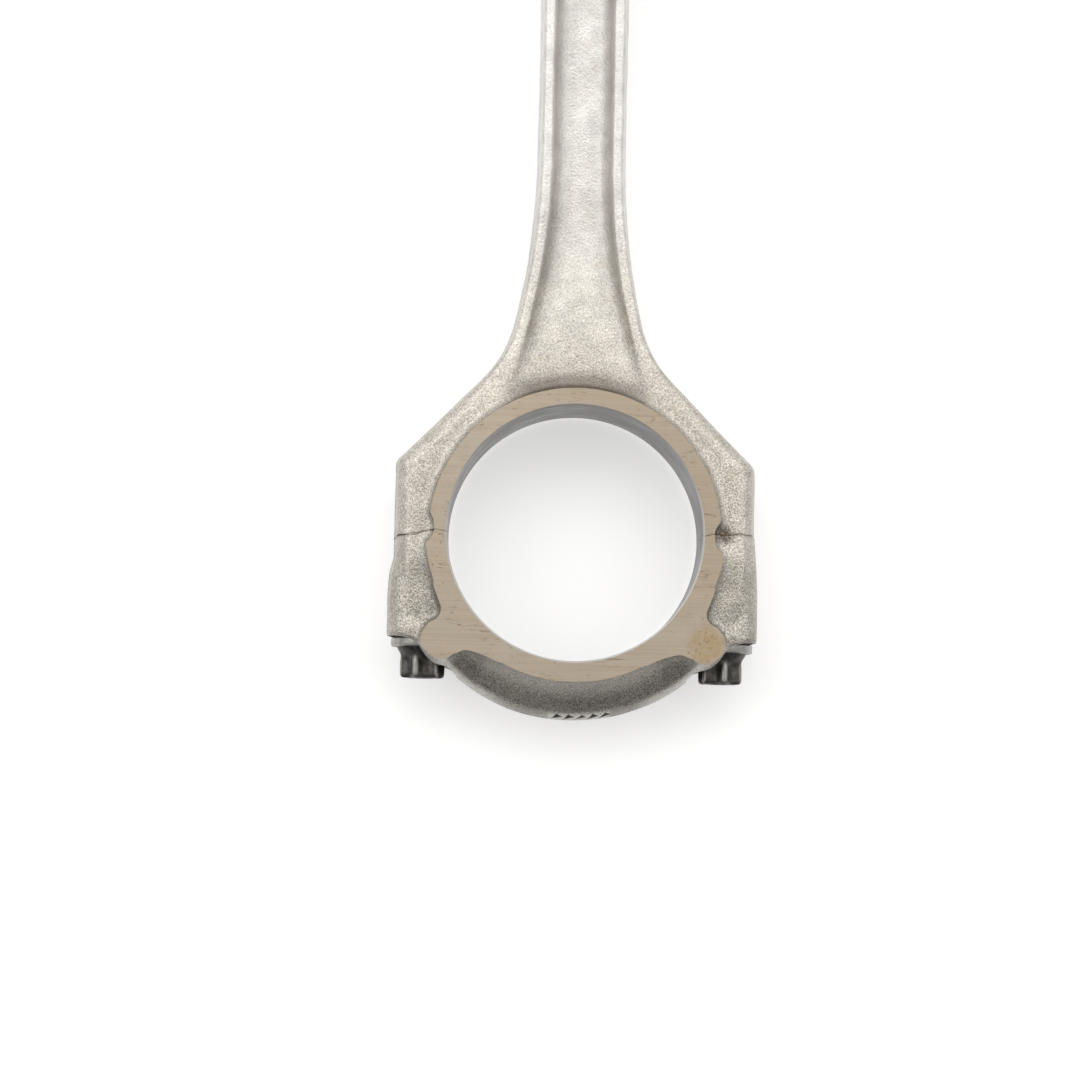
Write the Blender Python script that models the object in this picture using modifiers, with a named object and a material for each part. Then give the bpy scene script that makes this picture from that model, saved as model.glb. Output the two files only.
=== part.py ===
"""Connecting rod of a passenger-car petrol engine: forged rod, cap, two cap bolts and a small-end bush.

Frame: +Z points up the shank to the small end, +X runs across the two cap bolts, and Y is along both
bores. The pieces are drawn about the centre of the big-end bore, then lifted together so that the rod
stands on the origin with its cap's crown.
"""

import math

import bmesh
import bpy

MM = 0.001

# Driving dimensions
CENTRE_DISTANCE = 146 * MM
BIG_BORE_R = 26 * MM
BIG_HALF_WIDTH = 11.5 * MM
SMALL_HALF_WIDTH = 10.5 * MM
SMALL_EYE_R = 16.5 * MM
PIN_R = 11 * MM
BUSH_R = 12 * MM
BORE_CHAMFER = 0.5 * MM

# Room between neighbours: across the parting plane, and round a piece that sits in another
FIT_GAP = 0.3 * MM
PARTING_HALF_GAP = FIT_GAP / 2

# Forged thicknesses, as half widths from the mid plane
FORGED_HALF = 10 * MM
SHANK_HALF = 7.8 * MM
WEB_HALF = 2.4 * MM
FORGED_EDGE_R = 1.1 * MM
UPRIGHT_EDGE_R = 3 * MM

# Outline of the shank and the shoulders
SHANK_HALF_BREADTH = 9.2 * MM
RAIL_BREADTH = 3.2 * MM
FLARE_START_Z = 78 * MM
UPPER_FLARE_R = 145 * MM
UPPER_FLARE_ANGLE = math.radians(13.5)
LOWER_FLARE_R = 25.4 * MM
SHOULDER_ANGLE = math.radians(45)
SHOULDER_X = 37.1 * MM
SHOULDER_CORNER_R = 3 * MM
EYE_FILLET_R = 22 * MM
EYE_START_Z = CENTRE_DISTANCE - 15 * MM

# Machined thrust faces
ROD_FACE_R = 29.6 * MM
CAP_FACE_R = 30.3 * MM
PARTING_NOTCH_X = 31.6 * MM
PARTING_NOTCH_R = 2.9 * MM

# Cap
CROWN_R = 37.8 * MM
CROWN_HALF_BREADTH = 36.6 * MM
CAP_HALF_BREADTH = 37.2 * MM
CAP_FLARE = 0.045  # how fast the cap broadens downwards on each side
BOSS_DISH_R = 14 * MM
BOSS_DISH_DEPTH = 1.2 * MM
BOSS_DISH_Z = -11.6 * MM
EAR_X = 26.9 * MM
EAR_Z = -22.2 * MM
EAR_R = 4 * MM
EAR_BAY_R = 2.6 * MM

# Cap bolts
BOLT_X = 30.6 * MM
BOLT_R = 3.7 * MM
BOLT_LENGTH = 33.6 * MM
BOLT_HOLE_TOP_Z = 14.6 * MM
SEAT_Z = -21 * MM
SPOT_FACE_R = 7.1 * MM
FLANGE_R = 6.6 * MM
HEAD_HEIGHT = 8.7 * MM
DRIVE_MEAN_R = 4.1 * MM
DRIVE_SWING = 0.6 * MM
DRIVE_LOBES = 6

BEYOND = 5 * MM  # how far a cutter runs past what it cuts
FAR = 60 * MM  # farther out than any piece reaches across the rod

FRONT_VIEW = (math.pi / 2, 0, 0)  # stands a drawing up: its x is X and its y is Z
SIDE_VIEW = (math.pi / 2, 0, math.pi / 2)  # its x is Y and its y is Z
TOP_VIEW = (0, 0, 0)  # its x is X and its y is Y


def clear_scene():
    for obj in list(bpy.data.objects):
        bpy.data.objects.remove(obj)


def collection(name):
    made = bpy.data.collections.new(name)
    bpy.context.scene.collection.children.link(made)
    return made


def metal(name, rgb, roughness):
    made = bpy.data.materials.new(name)
    made.use_nodes = True
    shader = made.node_tree.nodes["Principled BSDF"]
    shader.inputs["Base Color"].default_value = (*rgb, 1)
    shader.inputs["Metallic"].default_value = 1
    shader.inputs["Roughness"].default_value = roughness
    return made


def arc(centre, radius, start, end, steps):
    """Points on a circle from one angle to another, in radians."""
    turns = [start + (end - start) * i / steps for i in range(steps + 1)]
    return [(centre[0] + radius * math.cos(t), centre[1] + radius * math.sin(t)) for t in turns]


def mirrored(half):
    """A closed outline from its right half, whose ends may lie on the centre line."""
    on_centre = 0.001 * MM
    return half + [(-x, y) for x, y in reversed(half) if x > on_centre]


def link(obj, group):
    for old in list(obj.users_collection):
        old.objects.unlink(obj)
    group.objects.link(obj)
    return obj


def plate(name, outline, half_thickness, group, view=FRONT_VIEW):
    """A flat outline made solid to both sides of its plane, as a mesh with its two caps welded on."""
    curve = bpy.data.curves.new(name, "CURVE")
    curve.dimensions = "2D"
    curve.fill_mode = "BOTH"
    curve.extrude = half_thickness
    spline = curve.splines.new("POLY")
    spline.points.add(len(outline) - 1)
    for point, (x, y) in zip(spline.points, outline):
        point.co = (x, y, 0, 1)
    spline.use_cyclic_u = True
    guide = link(bpy.data.objects.new(name + "_outline", curve), group)
    guide.rotation_euler = view
    bpy.context.view_layer.update()
    evaluated = guide.evaluated_get(bpy.context.evaluated_depsgraph_get())
    mesh = bpy.data.meshes.new_from_object(evaluated)
    cage = bmesh.new()
    cage.from_mesh(mesh)
    bmesh.ops.remove_doubles(cage, verts=cage.verts, dist=0.002 * MM)
    bmesh.ops.recalc_face_normals(cage, faces=cage.faces)
    cage.to_mesh(mesh)
    cage.free()
    made = link(bpy.data.objects.new(name, mesh), group)
    made.matrix_world = guide.matrix_world.copy()
    bpy.data.objects.remove(guide)
    return made


def turned(name, profile, steps, group, view=TOP_VIEW):
    """A solid of revolution from (radius, height) points, top to bottom down its outer side."""
    mesh = bpy.data.meshes.new(name)
    edges = [(i, i + 1) for i in range(len(profile) - 1)]
    if profile[0][0] > 0:  # a ring, so its profile closes on itself
        edges.append((len(profile) - 1, 0))
    mesh.from_pydata([(r, 0, z) for r, z in profile], edges, [])
    made = link(bpy.data.objects.new(name, mesh), group)
    made.rotation_euler = view
    screw = made.modifiers.new("turn", "SCREW")
    screw.axis = "Z"
    screw.steps = steps
    screw.render_steps = steps
    screw.use_merge_vertices = True
    screw.merge_threshold = 0.01 * MM
    return made


def cylinder(name, radius, centre, length, group, view=FRONT_VIEW, segments=48):
    """A cylinder about Y, or about another axis in another view."""
    bpy.ops.mesh.primitive_cylinder_add(
        vertices=segments, radius=radius, depth=length, location=centre, rotation=view
    )
    made = bpy.context.object
    made.name = name
    return link(made, group)


def box(name, low, high, group):
    middle = [(a + b) / 2 for a, b in zip(low, high)]
    bpy.ops.mesh.primitive_cube_add(size=1, location=middle)
    made = bpy.context.object
    made.name = name
    made.scale = [b - a for a, b in zip(low, high)]
    bpy.ops.object.transform_apply(location=False, rotation=False, scale=True)
    return link(made, group)


def boolean(target, operation, *others):
    for other in others:
        modifier = target.modifiers.new(f"{operation.lower()} {other.name}", "BOOLEAN")
        modifier.operation = operation
        modifier.solver = "EXACT"
        modifier.object = other
        other.hide_render = True
        other.display_type = "WIRE"


def round_forged_edges(obj):
    bevel = obj.modifiers.new("forged edges", "BEVEL")
    bevel.width = FORGED_EDGE_R
    bevel.segments = 2
    bevel.limit_method = "ANGLE"
    bevel.angle_limit = math.radians(55)
    bevel.use_clamp_overlap = False


def finish(obj, finish_material, sharp_angle=32):
    """Evaluates the modifiers into a plain mesh, shades it smooth and gives it its material."""
    bpy.context.view_layer.update()
    evaluated = obj.evaluated_get(bpy.context.evaluated_depsgraph_get())
    obj.data = bpy.data.meshes.new_from_object(evaluated)
    obj.modifiers.clear()
    obj.data.materials.clear()
    obj.data.materials.append(finish_material)
    obj.data.shade_smooth()
    obj.data.set_sharp_from_angle(angle=math.radians(sharp_angle))


def ramp(start, end, steps=7):
    """Points of an S-shaped blend from one (half depth, z) to another, without the first."""
    blends = [(1 - math.cos(math.pi * i / steps)) / 2 for i in range(1, steps + 1)]
    heights = [start[1] + (end[1] - start[1]) * i / steps for i in range(1, steps + 1)]
    return [(start[0] + (end[0] - start[0]) * b, z) for b, z in zip(blends, heights)]


def side_band(name, half_depths, group):
    """A wide bar up Z from (half depth, z) points, seen from the side."""
    return plate(name, half_depths + [(-y, z) for y, z in reversed(half_depths)], FAR, group, SIDE_VIEW)


def plan_band(name, half_breadth, group, lean=0):
    """A tall bar with rounded upright edges, seen from above, which can lean sideways going up."""
    x, y = half_breadth - UPRIGHT_EDGE_R, FORGED_HALF - UPRIGHT_EDGE_R
    near = arc((x, -y), UPRIGHT_EDGE_R, -math.pi / 2, 0, 5)
    far = arc((x, y), UPRIGHT_EDGE_R, 0, math.pi / 2, 5)
    band = plate(name, mirrored(near + far), 4 * FAR, group, TOP_VIEW)
    for vertex in band.data.vertices:
        vertex.co.x += lean * vertex.co.z
    return band


def big_bore(name, group):
    """Cutter for the big-end bore and the chamfer at both of its rims."""
    mouth_r = BIG_BORE_R + BORE_CHAMFER + BEYOND
    mouth_y = BIG_HALF_WIDTH + BEYOND
    half = [(0, FAR), (mouth_r, FAR), (mouth_r, mouth_y), (BIG_BORE_R, BIG_HALF_WIDTH - BORE_CHAMFER)]
    return turned(name, half + [(r, -y) for r, y in reversed(half)], 120, group, FRONT_VIEW)


def oil_hole(name, radius, group):
    """Cutter for a drilling down through the top of the small end."""
    inner = CENTRE_DISTANCE + PIN_R / 2
    outer = CENTRE_DISTANCE + SMALL_EYE_R + BEYOND
    return cylinder(name, radius, (0, 0, (inner + outer) / 2), outer - inner, group, TOP_VIEW, 20)


def flank(inset):
    """Right side of the shank and shoulder, set in from the outline, from the shoulder's slope upwards."""
    upper_centre = (SHANK_HALF_BREADTH + UPPER_FLARE_R, FLARE_START_Z)
    reach = UPPER_FLARE_R - LOWER_FLARE_R
    lower_centre = (
        upper_centre[0] - reach * math.cos(UPPER_FLARE_ANGLE),
        upper_centre[1] - reach * math.sin(UPPER_FLARE_ANGLE),
    )
    joint = math.pi + UPPER_FLARE_ANGLE
    lower = arc(lower_centre, LOWER_FLARE_R + inset, math.pi + SHOULDER_ANGLE, joint, 8)
    upper = arc(upper_centre, UPPER_FLARE_R + inset, joint, math.pi, 8)
    return lower + upper[1:]


def rod_outline():
    """Front outline of the rod, from below the parting plane to the top of the small end."""
    side = flank(0)
    slope_x, slope_z = side[0]
    corner_z = slope_z - (SHOULDER_X - slope_x) * math.tan(SHOULDER_ANGLE)
    corner_centre = (
        SHOULDER_X - SHOULDER_CORNER_R,
        corner_z - SHOULDER_CORNER_R * math.tan(SHOULDER_ANGLE / 2),
    )
    corner = arc(corner_centre, SHOULDER_CORNER_R, 0, SHOULDER_ANGLE, 4)
    fillet_x = SHANK_HALF_BREADTH + EYE_FILLET_R
    drop = math.sqrt((SMALL_EYE_R + EYE_FILLET_R) ** 2 - fillet_x**2)
    toward_eye = math.atan2(drop, -fillet_x)
    fillet = arc((fillet_x, CENTRE_DISTANCE - drop), EYE_FILLET_R, math.pi, toward_eye, 8)
    eye = arc((0, CENTRE_DISTANCE), SMALL_EYE_R, toward_eye - math.pi, math.pi / 2, 26)
    return mirrored([(SHOULDER_X, -BEYOND)] + corner + side + fillet + eye[1:])


def pocket_outline():
    """Front outline of the recess between the shank's two rails, which runs down to the thrust face."""
    crest_z = EYE_START_Z - 10 * MM
    side = flank(RAIL_BREADTH)
    foot_angle = math.radians(60)
    foot = arc((0, 0), ROD_FACE_R - 1 * MM, math.pi / 2, foot_angle, 10)
    crest = arc((0, crest_z), SHANK_HALF_BREADTH - RAIL_BREADTH, 0, math.pi / 2, 8)
    return mirrored(foot + side + crest)


def shank_web(group):
    """What the pockets leave: the thin web, thickening towards both ends."""
    shoulder = (FORGED_HALF - 0.6 * MM, ROD_FACE_R - 4 * MM)
    foot = (WEB_HALF, 50 * MM)
    head = (WEB_HALF, EYE_START_Z - 15 * MM)
    eye = (BIG_HALF_WIDTH, EYE_START_Z)
    lower = [(BIG_HALF_WIDTH, 0), shoulder] + ramp(shoulder, foot)
    return side_band("shank_web", lower + [head] + ramp(head, eye), group)


def forged_thickness(group):
    """The forging seen from the side: thick round the big end, slim along the shank, thick at the eye."""
    big_end = (FORGED_HALF, ROD_FACE_R - 6 * MM)
    shank_foot = (SHANK_HALF, 50 * MM)
    shank_head = (SHANK_HALF, EYE_START_Z - 10 * MM)
    eye = (SMALL_HALF_WIDTH, EYE_START_Z)
    lower = [(FORGED_HALF, -2 * BEYOND), big_end] + ramp(big_end, shank_foot)
    upper = [shank_head] + ramp(shank_head, eye) + [(SMALL_HALF_WIDTH, 4 * FAR)]
    return side_band("forged_thickness", lower + upper, group)


def parting_notch(name, x, group):
    """Cutter that dips the thrust face's edge where the fracture starts, down to the forged surface."""
    notch = cylinder(name, PARTING_NOTCH_R, (x, 0, 0), FAR, group, FRONT_VIEW, 28)
    core_half = FORGED_HALF + 0.05 * MM
    core = box(name + "_core", (x - BEYOND, -core_half, -BEYOND), (x + BEYOND, core_half, BEYOND), group)
    boolean(notch, "DIFFERENCE", core)
    return notch


def make_rod(group, cutters, finish_material):
    rod = plate("rod_body", rod_outline(), 2 * BIG_HALF_WIDTH, group)
    thickness = forged_thickness(cutters)
    upright_edges = plan_band("big_end_plan", SHOULDER_X, cutters)
    small_end_room = box(
        "small_end_room",
        (-FAR, -FAR, EYE_START_Z - 2 * BEYOND),
        (FAR, FAR, 4 * FAR),
        cutters,
    )
    boolean(upright_edges, "UNION", small_end_room)
    boolean(rod, "INTERSECT", thickness)
    round_forged_edges(rod)
    boolean(rod, "INTERSECT", upright_edges)
    face = cylinder("rod_thrust_face", ROD_FACE_R, (0, 0, 0), 2 * BIG_HALF_WIDTH, cutters, segments=120)
    pockets = plate("shank_pockets", pocket_outline(), 2 * BIG_HALF_WIDTH, cutters)
    boolean(pockets, "DIFFERENCE", shank_web(cutters))
    below_parting = box("below_parting", (-FAR, -FAR, -FAR), (FAR, FAR, PARTING_HALF_GAP), cutters)
    boolean(rod, "DIFFERENCE", pockets)
    boolean(rod, "UNION", face)
    boolean(rod, "DIFFERENCE", below_parting, big_bore("rod_bore", cutters))
    for word, side in (("left", -1), ("right", 1)):
        hole = cylinder(
            f"threaded_hole_{word}",
            BOLT_R + FIT_GAP,
            (side * BOLT_X, 0, 0),
            2 * BOLT_HOLE_TOP_Z,
            cutters,
            TOP_VIEW,
            32,
        )
        notch = parting_notch(f"rod_notch_{word}", side * PARTING_NOTCH_X, cutters)
        boolean(rod, "DIFFERENCE", hole, notch)
    eye = (0, 0, CENTRE_DISTANCE)
    pin_bore = cylinder("pin_bore", BUSH_R + FIT_GAP, eye, FAR, cutters, segments=64)
    boolean(rod, "DIFFERENCE", pin_bore, oil_hole("rod_oil_hole", 2 * MM, cutters))
    finish(rod, finish_material)
    return rod


def crown_profile():
    """Half section of the cap's hoop: thrust face, cove and the outer rib, from the bore axis outwards."""
    half = [
        (0, BIG_HALF_WIDTH),
        (CAP_FACE_R, BIG_HALF_WIDTH),
        (30.9 * MM, 10 * MM),
        (31.7 * MM, 8.2 * MM),
        (34 * MM, 6.5 * MM),
        (36.4 * MM, 5 * MM),
        (37.4 * MM, 4.1 * MM),
        (CROWN_R, 3 * MM),
    ]
    return half + [(r, -y) for r, y in reversed(half)]


def boss_outline(side):
    right = [
        (20 * MM, BEYOND),
        (FAR, BEYOND),
        (FAR, SEAT_Z),
        (BOLT_X - SPOT_FACE_R, SEAT_Z),
        (18 * MM, -16 * MM),
    ]
    return [(side * x, z) for x, z in right]


def ear_outline(side):
    """Ear of the cap's thrust face: the lobe that reaches past the bolt seat, and the bays at each side."""
    upper_centre = (EAR_X + 2.4 * MM, EAR_Z + EAR_R + EAR_BAY_R)
    upper_bay = arc(upper_centre, EAR_BAY_R, math.radians(175), math.radians(255), 6)
    lobe = arc((EAR_X, EAR_Z), EAR_R, math.radians(50), math.radians(-140), 16)
    lower_centre = (EAR_X - 5.3 * MM, EAR_Z - 4.4 * MM)
    lower_bay = arc(lower_centre, EAR_BAY_R, math.radians(45), math.radians(100), 5)
    hoop_edge = CAP_FACE_R - 0.25 * MM
    root = [
        (18.4 * MM, -25 * MM),
        (hoop_edge * math.cos(math.radians(-60)), hoop_edge * math.sin(math.radians(-60))),
        (15 * MM, -22 * MM),
        (25 * MM, -12.5 * MM),
    ]
    return [(side * x, z) for x, z in upper_bay + lobe + lower_bay + root]


def make_boss(word, side, cutters):
    """Bolt boss of the cap, scooped out on both faces beside the thrust face."""
    boss = plate(f"bolt_boss_{word}", boss_outline(side), 2 * FORGED_HALF, cutters)
    plan = plan_band(f"boss_plan_{word}", CAP_HALF_BREADTH, cutters, -side * CAP_FLARE)
    boolean(boss, "INTERSECT", plan)
    for face in (-1, 1):
        dish_y = face * (FORGED_HALF - BOSS_DISH_DEPTH + BOSS_DISH_R)
        dish = cylinder(
            f"dish_{word}_{'front' if face < 0 else 'back'}",
            BOSS_DISH_R,
            (side * BOLT_X, dish_y, BOSS_DISH_Z),
            FAR,
            cutters,
            (0, math.pi / 2, 0),
            96,
        )
        boolean(boss, "DIFFERENCE", dish)
    return boss


def make_cap(group, cutters, finish_material):
    cap = turned("big_end_cap", crown_profile(), 120, group, FRONT_VIEW)
    between_sides = box(
        "between_sides",
        (-CROWN_HALF_BREADTH, -FAR, -FAR),
        (CROWN_HALF_BREADTH, FAR, FAR),
        cutters,
    )
    boolean(cap, "INTERSECT", between_sides)
    for word, side in (("left", -1), ("right", 1)):
        ear = plate(f"ear_{word}", ear_outline(side), BIG_HALF_WIDTH, cutters)
        boolean(cap, "UNION", make_boss(word, side, cutters), ear)
    above_parting = box("above_parting", (-FAR, -FAR, -PARTING_HALF_GAP), (FAR, FAR, FAR), cutters)
    boolean(cap, "DIFFERENCE", above_parting, big_bore("cap_bore", cutters))
    for word, side in (("left", -1), ("right", 1)):
        axis = (side * BOLT_X, 0, 0)
        hole_r = BOLT_R + FIT_GAP + 0.1 * MM
        hole = cylinder(f"bolt_hole_{word}", hole_r, axis, 2 * FAR, cutters, TOP_VIEW, 32)
        spot_length = FAR
        spot_centre = (side * BOLT_X, 0, SEAT_Z - 0.02 * MM - spot_length / 2)
        spot = cylinder(f"spot_face_{word}", SPOT_FACE_R, spot_centre, spot_length, cutters, TOP_VIEW, 44)
        notch = parting_notch(f"cap_notch_{word}", side * PARTING_NOTCH_X, cutters)
        boolean(cap, "DIFFERENCE", hole, spot, notch)
    finish(cap, finish_material)
    return cap


def drive_outline():
    """External six-lobe drive, with a lobe towards the front face."""
    steps = 12 * DRIVE_LOBES
    turns = [2 * math.pi * i / steps for i in range(steps)]
    radii = [DRIVE_MEAN_R - DRIVE_SWING * math.cos(DRIVE_LOBES * t) for t in turns]
    return [(r * math.cos(t), r * math.sin(t)) for r, t in zip(radii, turns)]


def make_bolt(name, x, group, cutters, finish_material):
    """Flanged cap bolt whose origin is on its axis, at the top of its flange."""
    neck_r = DRIVE_MEAN_R + DRIVE_SWING + 0.3 * MM
    profile = [
        (0, BOLT_LENGTH),
        (BOLT_R - 0.9 * MM, BOLT_LENGTH),
        (BOLT_R, BOLT_LENGTH - 1.2 * MM),
        (BOLT_R, 0),
        (FLANGE_R, 0),
        (FLANGE_R, -1.7 * MM),
        (FLANGE_R - 0.5 * MM, -2.2 * MM),
        (neck_r, -3.1 * MM),
        (DRIVE_MEAN_R - DRIVE_SWING, -4.9 * MM),
        (0, -4.9 * MM),
    ]
    bolt = turned(name, profile, 48, group)
    drive_top = -2.6 * MM
    drive = plate(name + "_drive", drive_outline(), (drive_top + HEAD_HEIGHT) / 2, cutters, TOP_VIEW)
    drive.location.z = (drive_top - HEAD_HEIGHT) / 2
    boolean(bolt, "UNION", drive)
    finish(bolt, finish_material)
    drive.parent = bolt
    bolt.location = (x, 0, SEAT_Z - FIT_GAP)
    return bolt


def make_bush(group, cutters, finish_material):
    """Bronze bush pressed in the small end, with a chamfered bore and a hole under the rod's oil hole."""
    half = SMALL_HALF_WIDTH - 0.2 * MM
    profile = [
        (PIN_R + BORE_CHAMFER, half),
        (BUSH_R, half),
        (BUSH_R, -half),
        (PIN_R + BORE_CHAMFER, -half),
        (PIN_R, BORE_CHAMFER - half),
        (PIN_R, half - BORE_CHAMFER),
    ]
    bush = turned("small_end_bush", profile, 64, group, FRONT_VIEW)
    bush.location.z = CENTRE_DISTANCE
    boolean(bush, "DIFFERENCE", oil_hole("bush_oil_hole", 1.5 * MM, cutters))
    finish(bush, finish_material)
    return bush


def stand_on_crown(group):
    """Hangs everything on an empty at the big-end bore's centre, one crown radius above the origin."""
    drawn = [obj for obj in bpy.data.objects if obj.parent is None]
    centre = link(bpy.data.objects.new("big_end_centre", None), group)
    centre.location.z = CROWN_R
    for obj in drawn:
        obj.parent = centre


def main():
    clear_scene()
    parts = collection("connecting_rod")
    cutters = collection("cutters")
    forging = metal("forged steel", (0.62, 0.60, 0.57), 0.45)
    bolt_steel = metal("phosphated steel", (0.16, 0.15, 0.14), 0.5)
    bronze = metal("bronze", (0.72, 0.51, 0.28), 0.3)
    make_rod(parts, cutters, forging)
    make_cap(parts, cutters, forging)
    make_bolt("cap_bolt_left", -BOLT_X, parts, cutters, bolt_steel)
    make_bolt("cap_bolt_right", BOLT_X, parts, cutters, bolt_steel)
    make_bush(parts, cutters, bronze)
    stand_on_crown(parts)


main()
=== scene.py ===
"""Looks of a forged, fracture-split connecting rod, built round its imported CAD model.

The shape code works in mm from the centre of the big-end bore: X across the bolts, Y back along the bore and
Z up the shank. The rod and the cap start as distance fields, which are meshed and then cut along every
machined or broken surface. A field is the same in front as behind, so its y is the distance from the middle
plane.
"""

import math

import bpy
import numpy as np
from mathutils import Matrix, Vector


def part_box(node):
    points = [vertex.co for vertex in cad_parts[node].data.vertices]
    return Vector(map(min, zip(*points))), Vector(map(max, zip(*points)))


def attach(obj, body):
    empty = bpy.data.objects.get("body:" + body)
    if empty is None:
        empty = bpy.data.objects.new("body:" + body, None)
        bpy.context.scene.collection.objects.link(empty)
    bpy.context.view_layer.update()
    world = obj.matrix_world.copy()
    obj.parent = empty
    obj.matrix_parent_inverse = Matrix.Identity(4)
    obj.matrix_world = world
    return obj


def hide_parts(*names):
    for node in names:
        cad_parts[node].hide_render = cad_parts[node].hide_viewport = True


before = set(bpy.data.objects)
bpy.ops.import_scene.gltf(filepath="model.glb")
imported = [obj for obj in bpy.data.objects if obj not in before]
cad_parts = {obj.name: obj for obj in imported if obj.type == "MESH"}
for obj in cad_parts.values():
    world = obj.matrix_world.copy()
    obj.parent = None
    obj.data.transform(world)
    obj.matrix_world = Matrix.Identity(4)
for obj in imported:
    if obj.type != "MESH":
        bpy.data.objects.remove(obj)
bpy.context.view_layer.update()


def cad_box(node):
    """Lowest and highest corner of a CAD node, in mm to the nearest hundredth. Heights are from the foot."""
    return [[round(1000 * value, 2) for value in corner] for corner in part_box(node)]


# Leading dimensions in mm, read off the CAD model, which stands on the crown of its cap
BUSH_INSET = 0.2  # the bush stops this far short of the eye's faces
rod_low, rod_high = cad_box("rod_body")
cap_high = cad_box("big_end_cap")[1]
bolt_low, bolt_high = cad_box("cap_bolt_right")
bush_low, bush_high = cad_box("small_end_bush")
CROWN_R = round((rod_low[2] + cap_high[2]) / 2, 2)
FACE_Y = rod_high[1]
SIDE_X = rod_high[0]
BOLT_X = round((bolt_low[0] + bolt_high[0]) / 2, 2)
EYE_Z = round((bush_low[2] + bush_high[2]) / 2 - CROWN_R, 2)
EYE_R = round(rod_high[2] - CROWN_R - EYE_Z, 2)
EYE_Y = round(bush_high[1] + BUSH_INSET, 2)
BUSH_R = bush_high[0]

# Leading dimensions in mm that the CAD model's boxes don't show
BORE_R = 26.0  # housing bore
BORE_CHAMFER = 0.36
PIN_R = 11.0  # inside of the bush
SEAT_Z = -21.0  # underside of the bosses, where the bolts' flanges sit
SPOT_R = 7.1  # spot faces round the bolts' holes
SHANK_X = 9.2  # half width of the shank's upper, straight length
FLARE_Z = 78.0  # below this height the shank widens
RAIL = 3.1  # width of the rails on both sides of the hollow
ROD_FACE_R = 29.6  # outer edge of the thrust face above the fracture
CAP_FACE_R = 30.3  # and below it
EAR_X, EAR_Z, EAR_R = 27.0, -22.3, 4.0  # lobes of the cap's thrust face, past the bolts' seats
CRACK_GAP = 0.07

# Allowances in mm
STOCK_Y = 12.4  # half width over the thrust faces before they are ground
FLASH_Y = 0.95  # half width of the line where the forging dies met
OVERRUN_Y = 20  # how far the grinding cutters reach from the middle plane
ROD_GRID = 0.46
CAP_GRID = 0.4
CRACK_GRID = 0.3

FORGED, GROUND, BORED, BROKEN, DRILLED = range(5)  # material slots of the rod and the cap


# ---------------------------------------------------------------- distance fields


def rounded_max(a, b, r):
    """Intersection of two distance fields with an edge of radius r."""
    return np.minimum(np.maximum(a, b), -r) + np.hypot(np.maximum(a + r, 0), np.maximum(b + r, 0))


def rounded_min(a, b, r):
    """Union of two distance fields with a fillet of radius r."""
    return -rounded_max(-a, -b, r)


def ease(t):
    """Smooth step from 0 to 1."""
    t = np.clip(t, 0, 1)
    return t * t * (3 - 2 * t)


def arc(cx, cz, r, start, end, steps):
    """Points along an arc, between two angles in degrees."""
    turns = np.radians(np.linspace(start, end, steps + 1))
    return [(cx + r * math.cos(t), cz + r * math.sin(t)) for t in turns]


def mirrored(half):
    """A whole outline from its right half, which runs from the bottom to the top."""
    return half + [(-x, z) for x, z in reversed(half) if x > 1e-6]


def axes_of(low, high, step):
    """Coordinates of a cubic grid between two corners."""
    return [np.arange(a, b + step, step) for a, b in zip(low, high)]


def spread(axes):
    """x, distance from the middle plane, and z, each shaped to fill a grid."""
    return axes[0][:, None, None], np.abs(axes[1])[None, :, None], axes[2][None, None, :]


def outline_field(points, axes):
    """Signed distance to a closed outline in the XZ plane, shaped to fill a grid."""
    px, pz = axes[0][:, None], axes[2][None, :]
    nearest = np.full((len(axes[0]), len(axes[2])), 1e9)
    inside = np.zeros(nearest.shape, bool)
    for (ax, az), (bx, bz) in zip(points, points[1:] + points[:1]):
        ex, ez = bx - ax, bz - az
        if ex * ex + ez * ez < 1e-12:
            continue
        share = np.clip(((px - ax) * ex + (pz - az) * ez) / (ex * ex + ez * ez), 0, 1)
        nearest = np.minimum(nearest, (px - ax - ex * share) ** 2 + (pz - az - ez * share) ** 2)
        if az != bz:
            inside ^= ((az > pz) != (bz > pz)) & (px < ex * (pz - az) / ez + ax)
    return (np.where(inside, -1, 1) * np.sqrt(nearest))[:, None, :]


def oval_field(x, z, cx, cz, rx, rz):
    """Distance, near enough, to an oval."""
    u, v = (x - cx) / rx, (z - cz) / rz
    return (np.hypot(u, v) - 1) * min(rx, rz)


def wobble(axes, spacing, seed):
    """A smooth random field of about unit size, from cubic B-splines through random knots."""
    gain = 1.9  # brings the smoothed knots back up to about unit size
    counts = [int((a[-1] - a[0]) / spacing) + 5 for a in axes]
    field = np.random.default_rng(seed).standard_normal(counts)
    for axis, values in enumerate(axes):
        place = (values - values[0]) / spacing + 1
        cell = np.floor(place).astype(int)
        f = place - cell
        taps = [(1 - f) ** 3 / 6, (3 * f**3 - 6 * f**2 + 4) / 6]
        taps += [(1 + 3 * f + 3 * f**2 - 3 * f**3) / 6, f**3 / 6]
        weights = np.zeros((len(values), counts[axis]))
        for offset, tap in enumerate(taps):
            weights[np.arange(len(values)), cell + offset - 1] += tap
        field = np.moveaxis(np.tensordot(weights, field, (1, axis)), 0, axis)
    return field * gain


def uneven(field, axes, broad, narrow, seed):
    """A field with the slow unevenness of a forged surface, at two spacings in mm."""
    broad_height, narrow_height = 0.075, 0.035
    field = field + broad_height * wobble(axes, broad, seed)
    return field + narrow_height * wobble(axes, narrow, seed + 1)


def drafted(side, y, draft, flash_height):
    """A forging's side, which leans in on both sides of the proud line where the dies met."""
    flash = np.exp(-((y / FLASH_Y) ** 6))
    return side + draft * y + flash_height * (1 - flash)


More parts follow.
